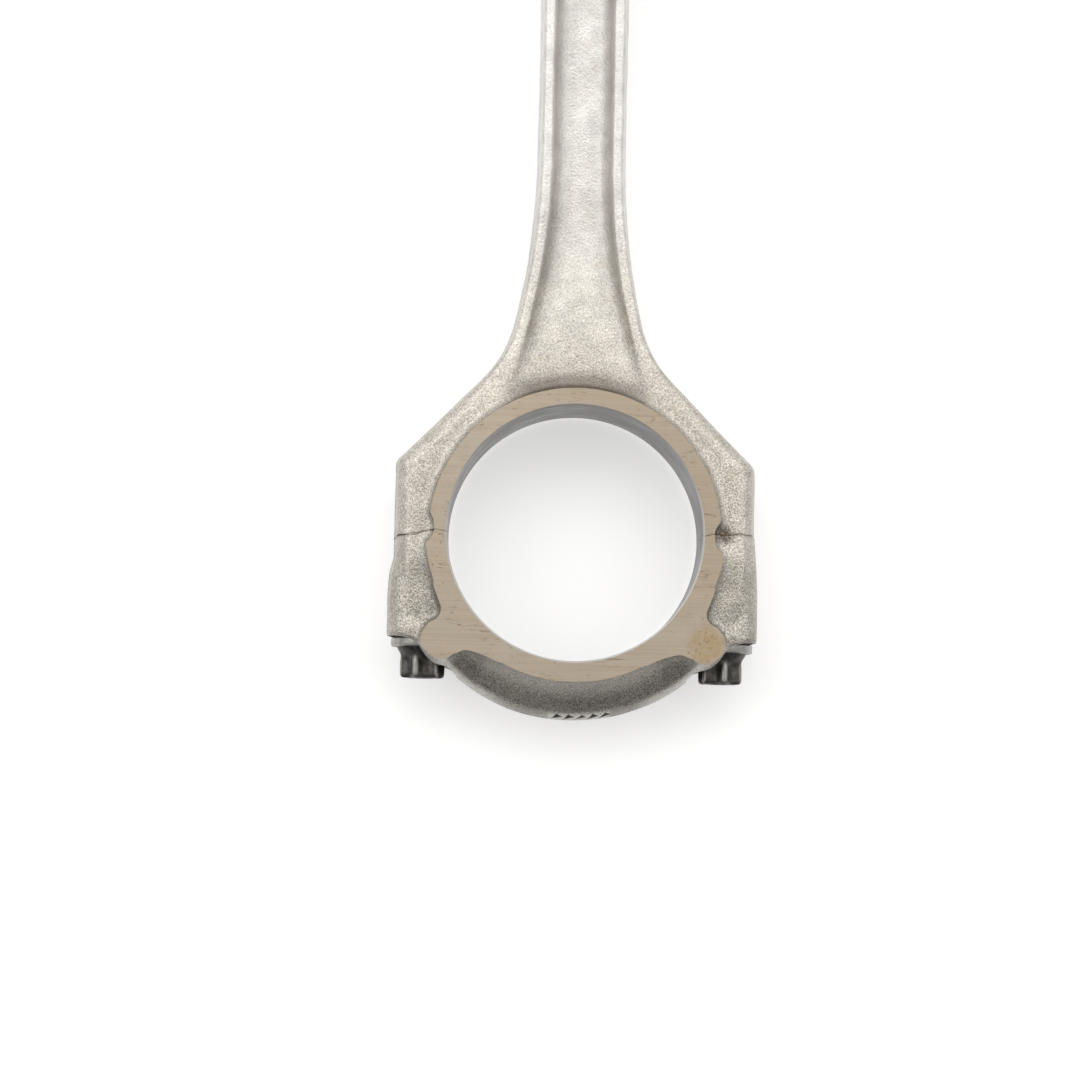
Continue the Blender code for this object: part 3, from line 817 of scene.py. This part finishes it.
def peened_grains(s, speckle, shank):
    """Dark and light grains: browner on the big end and darkest on the cap. They grow palest up the shank,
    as painted light falling from above the small end.
    """
    cap = s.ramp(s.z, 6, -24)
    # painted light: the grains turn paler up the shank, towards the small end, where the light falls
    # brightest
    dark = s.mix(shank, (0.33, 0.295, 0.25), (0.665, 0.637, 0.6))
    light = s.mix(shank, (0.825, 0.785, 0.715), (0.87, 0.85, 0.82))
    dark = s.mix(cap, dark, (0.19, 0.172, 0.147))
    light = s.mix(cap, light, (0.73, 0.685, 0.615))
    return s.mix(s.ramp(speckle, 0.34, 0.66), dark, light)


def peened_tone_and_shade(s, shank):
    """Slow changes of tone: blotches and a broad drift, with painted shade in the hollows from ambient
    occlusion, and a slightly darker web as painted shade where it sinks between the rails.
    """
    occluded = s.add("AmbientOcclusion", {"Distance": 0.005}, samples=6).outputs["AO"]
    blotch = s.ramp(s.noise(3.6, 3, 0.55), 0.3, 0.7, 0.9, 1.05)
    drift = s.ramp(s.noise(22, 2, 0.5), 0.3, 0.7, 0.94, 1.04)
    # painted shade: ambient occlusion darkens the hollows and creases, less so up the shank
    shadow = s.math("MAXIMUM", s.ramp(occluded, 0.42, 0.97, 0.32, 1.0), s.product(shank, 0.74))
    # painted shade: the web, sunk between the rails, is a little darker near the foot
    web = s.product(s.ramp(s.absolute(s.x), 9, 6), s.ramp(s.z, 24, 34, 0, 0.065))
    return s.product(blotch, drift, shadow, s.math("SUBTRACT", 1.0, web))


def crown_shade_and_highlights(s, colour, speckle):
    """The cap's crown: a rib darkened as painted shade, since it faces down, below a cove made paler as
    painted light, and a painted highlight along the lower edge, strongest at the nicks.
    """
    out = s.length(s.x, s.z)
    crown = s.ramp(s.z, -21, -27)
    # painted shade on the rib, which faces down
    rib_shade = s.product(s.ramp(out, 32.6, 34.6, 0.0, 0.3), crown)
    colour = s.mix(rib_shade, colour, (0.06, 0.054, 0.046))
    # painted light that lifts the cove under the thrust pad
    cove_lift = s.product(s.ramp(out, 33.8, 31.8, 0.0, 0.12), crown)
    colour = s.mix(cove_lift, colour, (0.62, 0.6, 0.56))
    # painted highlight along the crown's lower edge, strongest at the nicks
    nicks = s.ramp(s.gap(s.x, 1.6), 5.6, 7, 0.8, 0.15)
    edge_highlight_share = s.math("MAXIMUM", nicks, s.ramp(s.absolute(s.x), 9, 19, 0, 0.6))
    edge = s.product(s.ramp(out, 36.1, 36.9), crown, edge_highlight_share, s.ramp(speckle, 0.4, 0.55, 0.5, 1))
    return s.mix(edge, colour, (0.93, 0.9, 0.85))


def peened_steel():
    """Shot-peened forging: bright and dark grains, dimples, stains and slow changes of tone, with painted
    light, shade and highlights on top.
    """
    s = Surface("shot_peened_forging")
    grain = s.noise(0.36, 3, 0.6)
    fine = s.noise(0.18, 2, 0.6)
    speckle = s.math("ADD", s.product(grain, 0.55), s.product(fine, 0.45))
    shank = s.ramp(s.z, 24, 84)
    tone = peened_tone_and_shade(s, shank)
    grey = s.add("CombineXYZ", {0: tone, 1: tone, 2: tone}).outputs[0]
    colour = s.mix(1.0, peened_grains(s, speckle, shank), grey, "MULTIPLY")
    # painted shade: a dark band on the web's foot just above the thrust pad, where the pad's wall shades it
    foot = s.product(s.spot(0.6, 0, 32.2, 2.4), s.ramp(s.absolute(s.x), 18, 6), s.ramp(s.z, 20, 25, 0, 0.88))
    colour = s.mix(foot, colour, (0.13, 0.105, 0.08))
    colour = crown_shade_and_highlights(s, colour, speckle)
    tan = s.ramp(s.noise(2.6, 3, 0.6), 0.58, 0.74, 0, 0.3)
    colour = s.mix(tan, colour, (0.5, 0.4, 0.28))
    rust = s.product(s.spot(30.2, 0.4, 1.7, 1.3), s.ramp(speckle, 0.35, 0.7, 1.0, 0.6))
    colour = s.mix(rust, colour, (0.062, 0.042, 0.026))
    colour = s.mix(s.product(crack_band(s, 0.4), 0.6), colour, (0.13, 0.085, 0.05))
    dimples = s.bump(s.ramp(s.cells(0.55), 0.0, 0.75), 0.035)
    return s.finish(colour, 0.82, s.ramp(fine, 0.3, 0.7, 0.38, 0.56), s.bump(grain, 0.075, dimples))


def ground_steel():
    """Ground thrust face: beige, with fine level lines, a few scratches, faint stains and painted shade
    towards the upper right.
    """
    s = Surface("ground_thrust_face")
    lines = s.streaks((30, 30, 6500), 3, 0.6)
    broad = s.streaks((60, 60, 1100), 2, 0.5)
    stain = s.noise(6.5, 4, 0.6)
    spots = s.noise(1.1, 3, 0.6)
    colour = s.mix(s.ramp(lines, 0.25, 0.75), (0.405, 0.337, 0.257), (0.515, 0.44, 0.347))
    colour = s.mix(s.ramp(broad, 0.35, 0.7, 0, 0.45), colour, (0.47, 0.425, 0.365))
    colour = s.mix(s.ramp(stain, 0.5, 0.74, 0, 0.4), colour, (0.4, 0.31, 0.2))
    colour = s.mix(s.ramp(stain, 0.5, 0.28, 0, 0.35), colour, (0.56, 0.5, 0.44))
    # painted shade: the face turns darker and warmer towards the upper right
    upper_right_shade = s.ramp(s.math("ADD", s.x, s.z), 5, 35, 0, 0.32)
    colour = s.mix(upper_right_shade, colour, (0.36, 0.29, 0.2))
    scratch = s.ramp(s.gap(s.streaks((120, 120, 1300), 1, 0.5, 0.7), 0.58), 0.0, 0.026, 1, 0)
    rare = s.ramp(s.noise(3.4, 2, 0.5), 0.53, 0.6)
    colour = s.mix(s.product(scratch, rare, 0.7), colour, (0.17, 0.14, 0.11))
    specks = s.product(s.ramp(spots, 0.64, 0.72), s.ramp(s.noise(8, 2), 0.5, 0.62), 0.6)
    colour = s.mix(specks, colour, (0.2, 0.15, 0.1))
    ear = s.spot(EAR_X + 0.2, EAR_Z, 3.6, 1.8)
    colour = s.mix(s.product(ear, s.ramp(spots, 0.35, 0.6, 0.3, 0.65)), colour, (0.42, 0.3, 0.14))
    flecks = s.product(ear, s.ramp(s.noise(0.75, 3, 0.6), 0.56, 0.66, 0, 0.6))
    colour = s.mix(flecks, colour, (0.26, 0.15, 0.06))
    crack = s.product(crack_band(s, 0.22), s.ramp(s.x, -10, 10, 0.2, 0.6))
    colour = s.mix(crack, colour, (0.14, 0.09, 0.05))
    return s.finish(colour, 0.9, s.ramp(stain, 0.3, 0.7, 0.32, 0.44), s.bump(lines, 0.008))


def bored_steel():
    """Fine-bored wall with feed marks round it, and a paler, rougher chamfer at its mouths."""
    s = Surface("bored_wall")
    turned = s.streaks((60, 4200, 60), 2, 0.6)
    cloud = s.noise(9, 3, 0.5)
    colour = s.mix(s.ramp(turned, 0.3, 0.7), (0.2, 0.195, 0.19), (0.27, 0.262, 0.252))
    colour = s.mix(s.ramp(cloud, 0.4, 0.7, 0, 0.35), colour, (0.27, 0.245, 0.21))
    across = s.add("SeparateXYZ", {0: s.normal}).outputs[1]
    chamfer = s.ramp(s.absolute(across), 0.2, 0.45)
    colour = s.mix(chamfer, colour, (0.74, 0.72, 0.69))
    s.feed(s.shader.inputs["Specular Tint"], (0.53, 0.53, 0.53))
    roughness = s.math("ADD", s.ramp(cloud, 0.3, 0.7, 0.26, 0.36), s.product(chamfer, 0.25))
    return s.finish(colour, 0.92, roughness, s.bump(turned, 0.008))


def broken_steel():
    """The split itself: coarse dark grain, a little rusted."""
    s = Surface("fracture_grain")
    grain = s.noise(0.5, 3, 0.65)
    colour = s.mix(s.ramp(grain, 0.35, 0.65), (0.05, 0.035, 0.025), (0.26, 0.2, 0.15))
    return s.finish(colour, 0.5, 0.6, s.bump(grain, 0.12))


def drilled_steel():
    """Drilled, spot-faced and nicked surfaces, with tool marks round the bolts' axes."""
    s = Surface("drilled_steel")
    rings = s.streaks((200, 200, 3400), 2, 0.6)
    colour = s.mix(s.ramp(rings, 0.3, 0.7), (0.2, 0.19, 0.18), (0.46, 0.44, 0.41))
    return s.finish(colour, 0.9, s.ramp(rings, 0.3, 0.7, 0.3, 0.45), s.bump(rings, 0.02))


def bolt_steel():
    """Phosphated bolt: dark and mottled, with a painted highlight along the lobes' crests, and lighter on
    the flange.
    """
    s = Surface("phosphated_bolt")
    mottle = s.noise(1.1, 4, 0.65)
    fine = s.noise(0.24, 2, 0.6)
    away = s.length(s.math("SUBTRACT", s.absolute(s.x), BOLT_X), s.y)
    # painted highlight along the crests of the head's lobes
    ridge = s.product(s.ramp(away, 4.3, 4.58), s.ramp(s.z, SEAT_Z - 3.9, SEAT_Z - 5.2))
    flange = s.product(s.ramp(away, 5.9, 6.4), s.ramp(s.z, SEAT_Z - 2.5, SEAT_Z - 2.35))
    colour = s.mix(s.ramp(mottle, 0.35, 0.68), (0.055, 0.05, 0.046), (0.11, 0.104, 0.096))
    colour = s.mix(s.product(ridge, s.ramp(fine, 0.2, 0.6, 0.7, 1.0)), colour, (0.36, 0.345, 0.32))
    colour = s.mix(s.product(flange, s.ramp(mottle, 0.3, 0.6, 1.0, 0.6)), colour, (0.55, 0.535, 0.505))
    return s.finish(colour, 0.8, s.ramp(mottle, 0.3, 0.7, 0.3, 0.44), s.bump(fine, 0.015))


def bronze():
    """Bearing bronze with bore marks and a faint tarnish."""
    s = Surface("bearing_bronze")
    turned = s.streaks((80, 5200, 80), 2, 0.6)
    tarnish = s.noise(3.2, 4, 0.6)
    colour = s.mix(s.ramp(turned, 0.3, 0.7), (0.56, 0.36, 0.16), (0.74, 0.52, 0.27))
    colour = s.mix(s.ramp(tarnish, 0.5, 0.75, 0, 0.6), colour, (0.3, 0.19, 0.1))
    return s.finish(colour, 1.0, s.ramp(tarnish, 0.3, 0.7, 0.22, 0.4), s.bump(turned, 0.01))


# ---------------------------------------------------------------- stage, light and camera


def backdrop_paper():
    """White sheet close behind the rod, shown only to a camera that looks at its front nearly square on."""
    s = Surface("backdrop_paper")
    s.feed(s.shader.inputs["Specular IOR Level"], 0.0)
    s.feed(s.shader.inputs["Emission Color"], (1, 1, 1))
    s.feed(s.shader.inputs["Emission Strength"], 0.52)
    s.finish(s.mix(s.noise(3.0, 3, 0.6), (0.6, 0.6, 0.6), (0.64, 0.64, 0.64)), 0.0, 0.9)
    facing = s.along(s.add("NewGeometry", {}).outputs["Incoming"], (0, -1, 0))
    camera = s.add("LightPath", {}).outputs["Is Camera Ray"]
    shown = s.product(s.ramp(facing, 0.8, 0.92), camera)
    clear = s.add("BsdfTransparent", {}).outputs[0]
    sheet = s.add("MixShader", {0: shown, 1: clear, 2: s.shader.outputs[0]}).outputs[0]
    s.feed(s.tree.nodes["Material Output"].inputs["Surface"], sheet)
    return s.material


def floor_paper():
    """Pale paper that glows a little, so that it stays even far from the lights."""
    s = Surface("floor_paper")
    s.feed(s.shader.inputs["Emission Color"], (1, 1, 0.99))
    s.feed(s.shader.inputs["Emission Strength"], 0.55)
    return s.finish(s.mix(s.noise(2.0, 3, 0.6), (0.3, 0.3, 0.3), (0.33, 0.33, 0.33)), 0.0, 0.85)


def build_stage():
    """A sheet just behind the rod, and a wide floor, low enough for the cap and the bolts to slide out."""
    sheet, ground, top, half, far = FACE_Y + 0.4, -85, 420, 400, 9000
    upright = [(-half, sheet, ground), (half, sheet, ground), (half, sheet, top), (-half, sheet, top)]
    level = [(-far, -far, ground), (far, -far, ground), (far, far, ground), (-far, far, ground)]
    backdrop = mesh_object("backdrop", upright, [(0, 1, 2, 3)], [backdrop_paper()])
    floor = mesh_object("floor", level, [(0, 1, 2, 3)], [floor_paper()])
    floor.visible_diffuse = False
    floor.visible_glossy = False
    return backdrop, floor


def area_light(name, place, size, power):
    """A rectangular light, aimed at the big end. Its place and size are in metres."""
    big_end = Vector((0, 0, 0.05))
    light = bpy.data.lights.new(name, "AREA")
    light.shape = "RECTANGLE"
    light.size, light.size_y = size
    light.energy = power
    obj = bpy.data.objects.new(name, light)
    obj.location = place
    obj.rotation_euler = (big_end - Vector(place)).to_track_quat("-Z", "Y").to_euler()
    bpy.context.scene.collection.objects.link(obj)


def build_light():
    """A white tent: bright round the camera and above, dim towards the sides, and white at the back."""
    scene = bpy.context.scene
    scene.world = bpy.data.worlds.new("tent")
    scene.world.use_nodes = True
    s = Graph(scene.world.node_tree)
    way = s.add("TexCoord", {}).outputs["Generated"]
    front = s.along(way, (0, -1, 0))
    height = s.along(way, (0, 0, 1))
    tent = s.product(s.ramp(height, -0.95, 0.45, 0.22, 1.2), s.ramp(front, 0.0, 0.65, 0.55, 1.0))
    tent = s.mix(s.ramp(front, 0.0, -0.2), tent, s.ramp(height, -1.0, 0.6, 0.8, 1.1))
    patch = s.ramp(s.along(way, (0, -0.985, -0.17)), 0.8, 0.97)
    tint = s.mix(patch, (1, 1, 1), (0.8, 0.77, 0.72))
    lit = s.add("Background", {"Color": tint, "Strength": tent}).outputs[0]
    white = s.add("Background", {"Color": (1, 1, 1), "Strength": 1.0}).outputs[0]
    camera = s.add("LightPath", {}).outputs["Is Camera Ray"]
    seen = s.add("MixShader", {0: camera, 1: lit, 2: white}).outputs[0]
    s.feed(s.tree.nodes["World Output"].inputs["Surface"], seen)
    area_light("soft_top", (0, -0.7, 0.5), (0.7, 0.4), 1.2)
    area_light("soft_left", (-0.6, -0.6, 0.2), (0.3, 0.5), 0.85)
    area_light("soft_right", (0.6, -0.6, 0.2), (0.3, 0.5), 0.45)
    scene.view_settings.view_transform = "Standard"
    scene.view_settings.look = "None"
    scene.view_settings.exposure = 0.0


def build_camera():
    """Nearly square on to the front face, a little from below, with the rod leaning to the right."""
    lean, swing, rise, view_angle = [math.radians(turn) for turn in (1.3, -0.8, -4.4, 18.7)]
    distance, left, down, sensor = 0.665, 0.00717, 0.00146, 36
    right = Vector((math.cos(lean), 0, math.sin(lean)))
    back = Vector((math.sin(swing) * math.cos(rise), -math.cos(swing) * math.cos(rise), math.sin(rise)))
    right = (right - back * right.dot(back)).normalized()
    up = back.cross(right)
    aim = Vector((0, -FACE_Y, CROWN_R)) / 1000 - right * left - up * down
    camera = bpy.data.objects.new("camera", bpy.data.cameras.new("camera"))
    camera.data.sensor_width = sensor
    camera.data.lens = sensor / 2 / math.tan(view_angle / 2)
    camera.data.clip_start = 0.01
    turn = camera.matrix_world.to_3x3()
    turn.col[0], turn.col[1], turn.col[2] = right, up, back
    camera.matrix_world = turn.to_4x4()
    camera.location = aim + back * distance
    bpy.context.scene.collection.objects.link(camera)
    bpy.context.scene.camera = camera


# ---------------------------------------------------------------- scene


def main():
    steels = [peened_steel(), ground_steel(), bored_steel(), broken_steel(), drilled_steel()]
    phosphated = bolt_steel()
    rod = build_rod(steels)
    cap = build_cap(steels)
    left_bolt = build_bolt("cap_bolt_left_steel", -BOLT_X, -108, phosphated)
    right_bolt = build_bolt("cap_bolt_right_steel", BOLT_X, -81, phosphated)
    bush = build_bush(bronze())
    pieces = [
        (rod, "rod", "rod_body", "forged_steel"),
        (cap, "cap", "big_end_cap", "forged_steel"),
        (left_bolt, "bolt_left", "cap_bolt_left", "bolt_steel"),
        (right_bolt, "bolt_right", "cap_bolt_right", "bolt_steel"),
        (bush, "rod", "small_end_bush", "bronze"),
    ]
    for obj, body, node, slot in pieces:
        obj.location.z = CROWN_R / 1000
        bpy.context.view_layer.update()
        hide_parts(node)
        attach(obj, body)
    build_stage()
    build_light()
    build_camera()


main()
